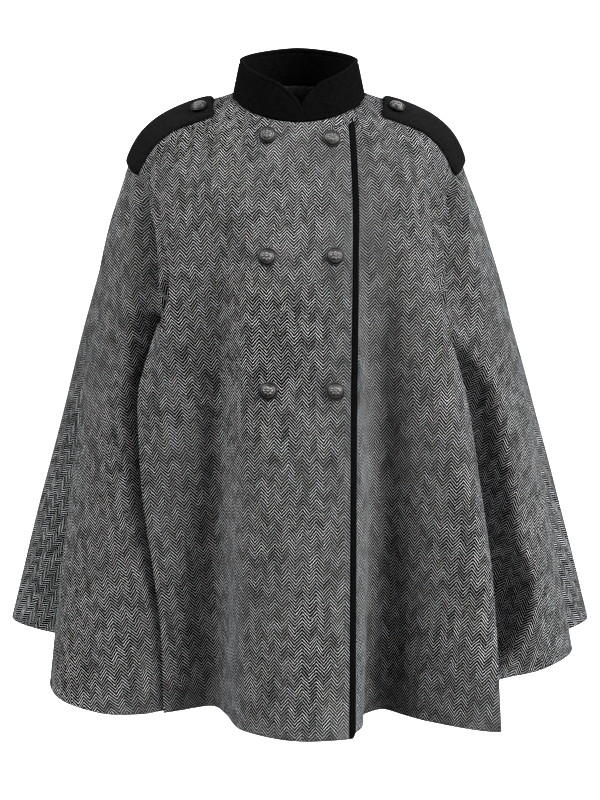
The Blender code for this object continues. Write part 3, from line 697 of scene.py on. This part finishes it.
def build_panel(node, tweed, edges, columns, grain, sink=None, lift=None, first=0.0, breaks=()):
    """One cloth panel of the coat, whose weave is placed by laying the piece out flat.  `grain` is a
    function of the solid and the flat grid that gives the line down the piece from which the grain is
    measured, and the tilt from it.  `breaks` are extra rows."""
    hem = 1 - np.array(HEM_STEPS)[::-1] / LENGTH
    downs = np.sort(np.concatenate((np.linspace(first, hem[0], PANEL_ROWS)[:-1], hem, breaks)))
    points, raised, before, after, fine_angles = [], [], [], [], []
    for down in downs:
        angles, run = cloth_row(down, edges, sink, lambda length: steps_across(length, columns))
        points.append(cloth(down, angles, sink))
        raised.append(np.zeros(len(angles)) if lift is None else lift(down, angles))
        before.append(run)
        after.append(run[-1] - run)
        fine_angles.append(angles)
    points, raised = np.array(points), np.array(raised)
    from_side = np.minimum(np.array(before), np.array(after))
    below = ((1 - downs) * LENGTH)[:, None] + 0 * from_side
    normals = grid_normals(points)
    drop = rolled(np.minimum(from_side, below), WALL / 2)
    face = raised + ripple(points) * np.clip(from_side / RIPPLE_EASE, 0, 1) - groove(below, HEM_STITCH)
    outer = points + normals * (face - drop)[..., None]
    inner = points + normals * (face - WALL + drop)[..., None]

    coarse_downs = np.linspace(first, 1.0, FLAT_ROWS)
    coarse_columns = max(columns // 4, 12)
    coarse = []
    for down in coarse_downs:
        angles, _ = cloth_row(down, edges, sink, lambda length: np.linspace(0, length, coarse_columns))
        coarse.append(cloth(down, angles, sink))
    coarse = np.array(coarse)
    flat = lay_flat(coarse)
    flat = turn_to_grain(flat, *grain(coarse, flat))
    weave = flat_places(flat, coarse_downs, edges, sink, downs, np.array(fine_angles))

    piece = add_shell("panel_" + node, node, outer, inner, tweed, weave)


# ---------------------------------------------------------------- grain lines
def grain_at_middle(tilt):
    """The grain lies `tilt` degrees off the middle of the front."""
    def grain(coarse, flat):
        path = []
        for solid_row, flat_row in zip(coarse[4:], flat[4:]):
            path.append([np.interp(PEAK_X, solid_row[:, 0], flat_row[:, axis]) for axis in (0, 1)])
        return np.array(path), tilt
    return grain


def grain_at_half(tilt):
    """The grain lies `tilt` degrees off the line half way across the piece."""
    def grain(coarse, flat):
        return flat[2:, round((flat.shape[1] - 1) / 2)], tilt
    return grain


# ---------------------------------------------------------------- materials
class Graph:
    """Short calls that add nodes to one material."""

    def __init__(self, name, roughness, metallic=0.0):
        self.material = bpy.data.materials.new(name)
        self.material.use_nodes = True
        self.tree = self.material.node_tree
        self.shader = self.tree.nodes["Principled BSDF"]
        self.shader.inputs["Roughness"].default_value = roughness
        self.shader.inputs["Metallic"].default_value = metallic
        if not metallic:
            self.shader.inputs["Specular IOR Level"].default_value = 0.0

    def put(self, value, socket):
        """Link a socket to this one, or set its value."""
        if isinstance(value, bpy.types.NodeSocket):
            self.tree.links.new(value, socket)
        else:
            socket.default_value = value

    def node(self, kind, inputs, **settings):
        """A new node, with its inputs given by name or number."""
        node = self.tree.nodes.new("ShaderNode" + kind)
        for name, value in settings.items():
            setattr(node, name, value)
        for name, value in inputs.items():
            self.put(value, node.inputs[name])
        return node

    def math(self, operation, *values, clamp=False):
        return self.node("Math", dict(enumerate(values)), operation=operation, use_clamp=clamp).outputs[0]

    def noise(self, place, scale, detail=2.0):
        return self.node("TexNoise", {"Vector": place, "Scale": scale, "Detail": detail}).outputs["Fac"]

    def wander(self, place, scale, reach):
        """Smooth noise about 0, at most half of `reach` either way."""
        return self.math("MULTIPLY", self.math("SUBTRACT", self.noise(place, scale), 0.5), reach)

    def speckle(self, place):
        return self.node("TexWhiteNoise", {"Vector": place}, noise_dimensions="3D").outputs["Value"]

    def cell(self, value, size):
        """Number of the cell of this size in which the value lies."""
        return self.math("FLOOR", self.math("DIVIDE", value, size))

    def blend(self, value, low, high, to_low=0.0, to_high=1.0):
        inputs = dict(enumerate((value, low, high, to_low, to_high)))
        return self.node("MapRange", inputs, interpolation_type="SMOOTHSTEP").outputs["Result"]

    def place(self, x, y, z=0.0):
        return self.node("CombineXYZ", {"X": x, "Y": y, "Z": z}).outputs[0]

    def mix(self, share, first, second, blend="MIX"):
        inputs = {0: share, 6: first, 7: second}
        return self.node("Mix", inputs, data_type="RGBA", blend_type=blend).outputs[2]

    def object_place(self):
        return self.node("TexCoord", {}).outputs["Object"]

    def colour(self, value):
        self.put(value, self.shader.inputs["Base Color"])

    def bump(self, height, depth, strength):
        inputs = {"Strength": strength, "Distance": depth, "Height": height}
        self.put(self.node("Bump", inputs).outputs["Normal"], self.shader.inputs["Normal"])

    def sheen(self, weight, roughness):
        """A faint, slightly blue sheen."""
        self.shader.inputs["Sheen Weight"].default_value = weight
        self.shader.inputs["Sheen Roughness"].default_value = roughness
        self.shader.inputs["Sheen Tint"].default_value = (0.9, 0.92, 1.0, 1.0)


def grey(value, warmth=0.0):
    """A nearly neutral colour."""
    return (value * (1 + warmth), value, value * (1 - warmth), 1.0)


def make_tweed():
    """Black and white herringbone tweed."""
    g = Graph("tweed_cloth", 0.95)
    place = g.node("UVMap", {}, uv_map="weave").outputs["UV"]
    u, v = g.node("SeparateXYZ", {0: place}).outputs[:2]

    # the columns are of uneven width, and their lines wander and don't quite meet
    across = g.math("ADD", u, g.wander(place, 26.0, 0.0055))
    column = g.cell(across, HALF_COLUMN)
    height = g.math("ADD", v, g.math("ADD", g.wander(place, 22.0, 0.0030), g.wander(place, 260.0, 0.0018)))
    zigzag = g.math("PINGPONG", across, HALF_COLUMN)
    step = g.math("MULTIPLY", g.cell(zigzag, YARN), YARN)
    zigzag = g.math("MULTIPLY", g.math("ADD", zigzag, g.math("ADD", step, YARN / 2)), 0.5)
    phase = g.math("DIVIDE", g.math("ADD", height, g.math("MULTIPLY", zigzag, LINE_SLOPE)), LINE_PERIOD)
    stagger = g.math("MULTIPLY", g.speckle(g.place(column, 0.5)), BLOCK_STAGGER)
    block = g.math("FLOOR", g.math("ADD", g.math("MULTIPLY", v, BLOCK_RATE), stagger))
    phase = g.math("ADD", phase, g.math("MULTIPLY", g.speckle(g.place(column, block)), BLOCK_SHIFT))
    wave = g.math("SINE", g.math("MULTIPLY", phase, 2 * math.pi))
    pale = g.blend(g.math("ADD", wave, g.wander(place, 420.0, 1.1)), 0.48, 0.85)

    # each line and each yarn crossing has its own shade, and the nap hides the weave in places
    stroke = g.speckle(g.place(column, g.math("FLOOR", g.math("SUBTRACT", phase, 0.25))))
    crossing = g.speckle(g.place(g.cell(u, YARN), g.cell(v, YARN)))
    shade = g.math("MULTIPLY", g.blend(stroke, 0.0, 1.0, 0.45, 1.40), g.blend(crossing, 0.0, 1.0, 0.62, 1.3))
    fluff = g.blend(g.noise(place, 900.0, 3.0), 0.3, 0.7, 0.8, 1.2)
    nap = g.blend(g.noise(place, 110.0, 3.0), 0.55, 0.80, 0.0, 0.20)
    pale_yarn = g.mix(g.noise(place, 60.0), grey(0.51, -0.030), grey(0.48, -0.044))
    cloth_colour = g.mix(nap, g.mix(pale, grey(0.003), pale_yarn), grey(0.17, -0.03))
    tone = g.math("MULTIPLY", shade, fluff)
    g.colour(g.mix(1.0, cloth_colour, g.place(tone, tone, tone), blend="MULTIPLY"))
    g.bump(g.math("ADD", g.math("MULTIPLY", pale, 0.5), g.noise(place, 1100.0)), 0.00035, 0.5)
    g.sheen(0.012, 0.45)
    return g.material


def make_black_wool(name, value):
    """Felted black wool, with a short nap."""
    g = Graph(name, 0.9)
    place = g.object_place()
    mottle = g.noise(place, 260.0, 4.0)
    fibres = g.noise(place, 1400.0, 3.0)
    tone = g.math("MULTIPLY", g.blend(mottle, 0.3, 0.7, 0.75, 1.3), g.blend(fibres, 0.3, 0.7, 0.7, 1.35))
    tone = g.math("MULTIPLY", tone, value)
    g.colour(g.place(tone, tone, g.math("MULTIPLY", tone, 1.05)))
    g.bump(g.math("ADD", g.math("MULTIPLY", mottle, 1.2), fibres), 0.0005, 0.6)
    g.sheen(0.012, 0.5)
    return g.material


def make_pewter():
    """Antique pewter: pale with wear, dark with patina in the hollows, darker on the buttons' outer slopes
    (painted shade) and outer edges (patina and painted shade).
    """
    g = Graph("pewter", 0.42, 1.0)
    # the buttons' wear and patina, with painted shade on their outer slopes and edges
    wear_and_shade = g.node("Attribute", {}, attribute_name="wear_and_painted_shade").outputs["Fac"]
    place = g.object_place()
    spots = g.noise(place, 900.0, 4.0)
    share = g.math("ADD", wear_and_shade, g.math("MULTIPLY", g.math("SUBTRACT", spots, 0.5), 0.5), clamp=True)
    g.colour(g.mix(share, grey(0.005, 0.04), grey(0.22, 0.02)))
    g.put(g.blend(spots, 0.3, 0.7, 0.40, 0.56), g.shader.inputs["Roughness"])
    g.bump(g.noise(place, 1500.0, 3.0), 0.0002, 0.5)
    return g.material


# ---------------------------------------------------------------- black pieces
def distance_to(places, outline):
    """Distance from each place to the nearest point of a line through the outline's points."""
    flat = places.reshape(-1, 2)
    nearest = np.full(len(flat), np.inf)
    for start, end in zip(outline[:-1], outline[1:]):
        along = end - start
        share = np.clip((flat - start) @ along / max(float(along @ along), 1e-12), 0, 1)
        nearest = np.minimum(nearest, np.linalg.norm(flat - start - share[:, None] * along, axis=1))
    return nearest.reshape(places.shape[:2])


def build_collar(black):
    """Stand collar with rolled edges and topstitching; its right end crosses over its left end, and
    its top edge comes down to a point at the middle of the front."""
    steps = steps_across(math.radians(COLLAR_RIGHT_END - COLLAR_LEFT_END) * COLLAR_RADIUS, 260)
    turns = COLLAR_LEFT_END + np.degrees(steps / COLLAR_RADIUS)
    seam = cloth(0.0, turns)
    outward = np.stack((np.sin(np.radians(turns)), -np.cos(np.radians(turns)), 0 * turns), -1)
    from_front = np.where(turns < 180, turns - COLLAR_SHIFT, 360 + COLLAR_SHIFT - turns)
    full = smooth_line(np.array(COLLAR_TURNS), np.array(COLLAR_HEIGHTS), from_front)
    first, last = COLLAR_CROSSING
    ease = np.clip((last - turns) / (last - first), 0, 1)
    under = (COLLAR_WALL + 2 * SEAM_GAP) * ease * ease * (3 - 2 * ease)
    # rows close together at the rounded edge and the topstitching, even below them
    below_top = np.concatenate((EDGE_STEPS[:-1], np.arange(0.0036, 0.0100, 0.0004),
                                np.linspace(0.0105, COLLAR_HEIGHT, 12)))
    heights = (1 - below_top / COLLAR_HEIGHT)[:, None] * full[None, :]
    inward = SEAM_GAP + under + COLLAR_LEAN * heights / COLLAR_HEIGHT
    points = seam + UP * (heights + 2 * SEAM_GAP)[..., None] - outward * inward[..., None]
    normals = grid_normals(points)
    places = np.stack((np.broadcast_to(steps, heights.shape), heights), -1)
    outline = np.concatenate((places[::-1, 0], places[0, 1:-1], places[:, -1]))
    from_edge = distance_to(places, outline)
    drop = rolled(from_edge, COLLAR_WALL / 2)
    drop = drop + COLLAR_GROOVE * np.exp(-((from_edge - COLLAR_STITCH) / COLLAR_GROOVE_WIDTH) ** 2)
    outer = points - normals * drop[..., None]
    inner = points + normals * (drop - COLLAR_WALL)[..., None]
    piece = add_shell("stand_collar", "collar", outer, inner, black)


def build_strip(name, node, edges, downs, columns, wall, lift, finish, roll, rise=0.0):
    """A narrow piece along the cloth with rounded edges.  Its top edge stands up by `rise`."""
    points, before, after = [], [], []
    for down in downs:
        angles, run = cloth_row(down, edges, None, lambda length: steps_across(length, columns))
        points.append(cloth(down, angles) + UP * rise * math.exp((downs[0] - down) * LENGTH / 0.004))
        before.append(run)
        after.append(run[-1] - run)
    points, before, after = np.array(points), np.array(before), np.array(after)
    normals = grid_normals(points)
    ends = np.minimum(downs - downs[0], downs[-1] - downs)[:, None] * LENGTH + 0 * before
    drop = np.maximum(np.maximum(rolled(before, roll), rolled(after, roll)), rolled(ends, roll))
    outer = points + normals * (lift - drop)[..., None]
    inner = points + normals * (lift - wall + np.minimum(drop, wall * 0.4))[..., None]
    return add_shell(name, node, outer, inner, finish)


def rounded(distance, radius):
    """Share of its full thickness that a padded piece has at this distance from its edge."""
    return np.sqrt(1 - np.clip(1 - distance / radius, 0, 0.995) ** 2)


def build_epaulette(name, node, side, black):
    """Padded shoulder strap with rounded corners."""
    middle_downs, middle_angles = zip(*EPAULETTE_MIDDLE)
    start, end = middle_downs[0], middle_downs[-1]
    length = (end - start) * LENGTH
    near, edge = np.array(STRAP_STEPS), np.array(STRAP_SIDE_STEPS)
    runs = np.concatenate((near, np.linspace(near[-1], length - near[-1], 70)[1:-1], length - near[::-1]))
    across = np.concatenate((edge - 1, np.linspace(-0.65, 0.65, 21), 1 - edge[::-1]))
    outer, inner = [], []
    for run in runs:
        down = start + run / LENGTH
        from_end = min(run, length - run)
        inset = max(EPAULETTE_ROUND - from_end, 0)
        half = EPAULETTE_WIDTH / 2 - EPAULETTE_ROUND + math.sqrt(EPAULETTE_ROUND**2 - 0.98 * inset**2)
        middle = float(np.interp(down, middle_downs, middle_angles))
        angles = side * middle + degrees_for(half, down, middle) * across
        slant = side * EPAULETTE_SLANT * (1 - run / length) * across
        points = np.array([cloth(down - part, [angle])[0] for part, angle in zip(slant, angles)])
        normals = cloth_normals(down, angles)
        from_front = (1 + side * across) * half
        from_back = (1 - side * across) * half
        shape = np.minimum(rounded(from_front, EPAULETTE_FRONT_ROLL),
                           rounded(np.minimum(from_back, from_end), EPAULETTE_ROLL))
        thickness = EPAULETTE_WALL * shape * (1 + EPAULETTE_CROWN * (1 - across**2))
        outer.append(points + normals * (EPAULETTE_CLEAR + thickness)[:, None])
        inner.append(points + normals * EPAULETTE_CLEAR)
    piece = add_shell(name, node, np.array(outer), np.array(inner), black)


# ---------------------------------------------------------------- buttons
def button_height(radius, turn):
    """Height of a button's face, as a share of the button's, and how pale its metal is there: pale with wear
    on the relief and rim, dark with patina in the gutter, darker on the dome's outer slope (painted shade)
    and at the outer edge (patina and painted shade where the button meets the cloth). `radius` is a share of
    the button's, too."""
    dome = 0.40 + 0.44 * np.cos(np.pi / 2 * np.clip(radius / 0.86, 0, 1))
    rim = 0.34 + 0.06 * np.sin(np.pi * np.clip((radius - 0.88) / 0.10, 0, 1))
    on_rim = np.clip((radius - 0.84) / 0.03, 0, 1)
    gutter = -0.09 * np.exp(-((radius - 0.86) / 0.025) ** 2)
    ring = 0.06 * np.exp(-((radius - 0.68) / 0.035) ** 2)
    petal = np.sin(np.pi * np.clip((radius - 0.14) / 0.42, 0, 1))
    petals = 0.10 * petal * (0.5 + 0.5 * np.cos(8 * turn)) ** 0.7
    boss = 0.10 * np.sqrt(np.clip(1 - (radius / 0.13) ** 2, 0, 1))
    relief = ring + petals + boss
    height = dome * (1 - on_rim) + rim * on_rim + gutter + relief
    # the outer edge is darker: partly patina, partly painted shade where the button meets the cloth
    outer_edge_patina_and_shade = np.clip((radius - 0.93) / 0.05, 0, 1)
    # the dome's outer slope is darker: painted shade that makes the dome look round
    slope = np.clip((radius - 0.55) / 0.3, 0, 1) * (1 - on_rim)
    # wear and patina, with painted shade on the outer slope and at the outer edge
    wear_and_painted_shade = 0.34 + 7.0 * relief + 6 * gutter + 0.25 * on_rim - 0.6 * outer_edge_patina_and_shade - 0.18 * slope
    return height, np.clip(wear_and_painted_shade, 0, 1)


def ring_faces(rings, spokes):
    """Faces between neighbouring rings of points, each with as many points as there are spokes."""
    faces = []
    for ring in range(rings - 1):
        for k in range(spokes):
            here, below = ring * spokes, (ring + 1) * spokes
            after = (k + 1) % spokes
            faces.append((here + k, below + k, below + after, here + after))
    return faces


def build_button(name, down, angle, size, clearance, metal):
    """Domed metal button with a rim, a ring and an eight-petalled rosette."""
    centre, normal = cloth(down, [angle])[0], cloth_normals(down, [angle])[0]
    sideways = np.cross(UP, normal)
    sideways /= np.linalg.norm(sideways)
    upward = np.cross(normal, sideways)
    turns = np.linspace(0, 2 * np.pi, SPOKES, endpoint=False)
    spokes = np.cos(turns)[:, None] * sideways + np.sin(turns)[:, None] * upward
    rings, wear_and_shade = [], []
    for radius in np.concatenate((np.linspace(0.02, 0.97, 40), (0.985, 0.995))):
        height, wear_and_painted_shade = button_height(np.full(SPOKES, radius), turns)
        rings.append((radius, height - 0.10 * max((radius - 0.97) / 0.03, 0) ** 2))
        wear_and_shade.append(wear_and_painted_shade)
    for radius, height in BUTTON_BACK:
        rings.append((radius, np.full(SPOKES, height)))
        wear_and_shade.append(np.zeros(SPOKES))
    points = np.concatenate([centre + spokes * size * radius
                             + normal * (clearance + BUTTON_HEIGHT * height)[:, None]
                             for radius, height in rings])
    faces = ring_faces(len(rings), SPOKES)
    faces.append(tuple(range(SPOKES)))
    faces.append(tuple(range(len(points) - 1, len(points) - SPOKES - 1, -1)))
    mesh = bpy.data.meshes.new(name + "_metal")
    mesh.from_pydata(points.tolist(), [], faces)
    # how pale the metal is at each point: wear and patina, with painted shade on the dome's outer slope and
    # edge
    mesh.attributes.new("wear_and_painted_shade", "FLOAT", "POINT").data.foreach_set(
        "value", np.concatenate(wear_and_shade).astype(np.float32))
    add_piece(name + "_metal", name, mesh, metal)


def build_buttons(metal):
    """Three rows of two on the front, and one on each epaulette."""
    for name, below, x in FRONT_BUTTONS:
        down = below / FRONT_LENGTH
        build_button(name, down, angle_at_x(down, x), BUTTON_RADIUS, BUTTON_CLEAR, metal)
    for name, down, angle in EPAULETTE_BUTTONS:
        build_button(name, down, angle, EPAULETTE_BUTTON_RADIUS,
                     EPAULETTE_CLEAR + EPAULETTE_WALL * (1 + EPAULETTE_CROWN) + BUTTON_CLEAR, metal)


# ---------------------------------------------------------------- the whole coat
def build_panels(tweed):
    """Back, two fronts and two side panels."""
    build_panel("back", tweed, back_edges, 230, grain_at_half(0.0))
    build_panel("front_right", tweed, upper_front_edges, 120, grain_at_middle(0.0),
                breaks=(BINDING_TOP, BINDING_TOP + 0.0003))
    build_panel("front_left", tweed, lower_front_edges, 130, grain_at_middle(LEFT_FRONT_TILT),
                lift=lower_front_lift)
    for node, side, tilt in (("side_right", -1, RIGHT_SIDE_TILT), ("side_left", 1, LEFT_SIDE_TILT)):
        build_panel(node, tweed, side_edges(side), 60, grain_at_half(tilt), sink=side_sink(side),
                    first=SHOULDER_TOP + SEAM_GAP / LENGTH)


def build_black_pieces(black, facing_painted_light_wool, strap_black):
    """Collar, binding, neck facing and shoulder straps."""
    build_collar(black)
    corner = BINDING_CORNER / FRONT_LENGTH
    top = BINDING_TOP + BINDING_GAP
    downs = np.concatenate((top + np.array(BINDING_STEPS), np.linspace(top + 0.003, 1 - corner, 150),
                            1 - corner * np.array(CORNER_STEPS)))
    binding = build_strip("edge_binding", "front_binding", binding_edges, downs, 8, BINDING_WALL,
                          BINDING_LIFT, black, roll=0.0019)
    # the facing's wool is much paler than the collar's: a little its own tone, mostly painted light inside
    # the neck
    facing = build_strip("facing_neck", "neck_facing",
                         lambda down: (180 - FACING_HALF_SPAN, 180 + FACING_HALF_SPAN),
                         np.linspace(*FACING_DOWN, 30), 60, FACING_WALL, -WALL - SEAM_GAP, facing_painted_light_wool,
                         roll=0.0006, rise=FACING_RISE)
    build_epaulette("strap_right", "epaulette_right", -1, strap_black)
    build_epaulette("strap_left", "epaulette_left", 1, strap_black)


# ---------------------------------------------------------------- studio
def add_light(name, azimuth, elevation, power, spread):
    """A broad soft lamp far away.  Azimuth 0 is in front, positive towards the wearer's left."""
    data = bpy.data.lights.new(name, "SUN")
    data.energy = power
    data.angle = math.radians(spread)
    lamp = bpy.data.objects.new(name, data)
    lamp.rotation_euler = (math.radians(90 - elevation), 0.0, math.radians(azimuth))
    bpy.context.collection.objects.link(lamp)


def build_stage():
    """Plain pale floor that curves up into a pale backdrop all round.  Its points run clockwise, so
    that its faces look inwards."""
    profile = [(0.0, FLOOR_Z), (FLOOR_RADIUS, FLOOR_Z)]
    for k in range(1, 13):
        turn = math.radians(7.5 * k)
        profile.append((FLOOR_RADIUS + FLOOR_CURVE * math.sin(turn),
                        FLOOR_Z + FLOOR_CURVE * (1 - math.cos(turn))))
    points = []
    for radius, height in (*profile, *BACKDROP):
        for k in range(FLOOR_SPOKES):
            turn = -2 * math.pi * k / FLOOR_SPOKES
            points.append((radius * math.cos(turn), radius * math.sin(turn), height))
    mesh = bpy.data.meshes.new("studio_floor")
    mesh.from_pydata(points, [], ring_faces(len(points) // FLOOR_SPOKES, FLOOR_SPOKES))
    g = Graph("pale_floor", 0.9)
    g.colour(grey(0.82))
    g.shader.inputs["Emission Color"].default_value = (1.0, 1.0, 1.0, 1.0)
    g.shader.inputs["Emission Strength"].default_value = 0.8
    mesh.materials.append(g.material)
    mesh.shade_smooth()
    floor = bpy.data.objects.new("studio_floor", mesh)
    bpy.context.collection.objects.link(floor)
    floor.visible_diffuse = False
    floor.visible_glossy = False
    floor.visible_shadow = False


def build_studio():
    """Camera, lamps, sky and floor."""
    data = bpy.data.cameras.new("camera")
    data.lens = CAMERA_LENS
    camera = bpy.data.objects.new("camera", data)
    camera.location = CAMERA_PLACE
    camera.rotation_euler = (math.radians(90 - CAMERA_PITCH), 0.0, 0.0)
    bpy.context.collection.objects.link(camera)
    bpy.context.scene.camera = camera
    world = bpy.data.worlds.new("studio_air")
    world.use_nodes = True
    air = world.node_tree.nodes["Background"].inputs
    air["Color"].default_value = (1.0, 1.0, 1.0, 1.0)
    air["Strength"].default_value = AIR_LIGHT
    bpy.context.scene.world = world
    for lamp in LAMPS:
        add_light(*lamp)
    build_stage()
    bpy.context.scene.view_settings.view_transform = "Standard"
    bpy.context.scene.cycles.filter_width = PIXEL_FILTER


def main():
    """Studio and coat."""
    build_studio()
    build_panels(make_tweed())
    # the facing's wool is much paler than the black wool: mostly painted light inside the neck
    build_black_pieces(make_black_wool("black_wool", 0.0040), make_black_wool("facing_wool_painted_light", 0.16),
                       make_black_wool("strap_wool", 0.0090))
    build_buttons(make_pewter())


main()
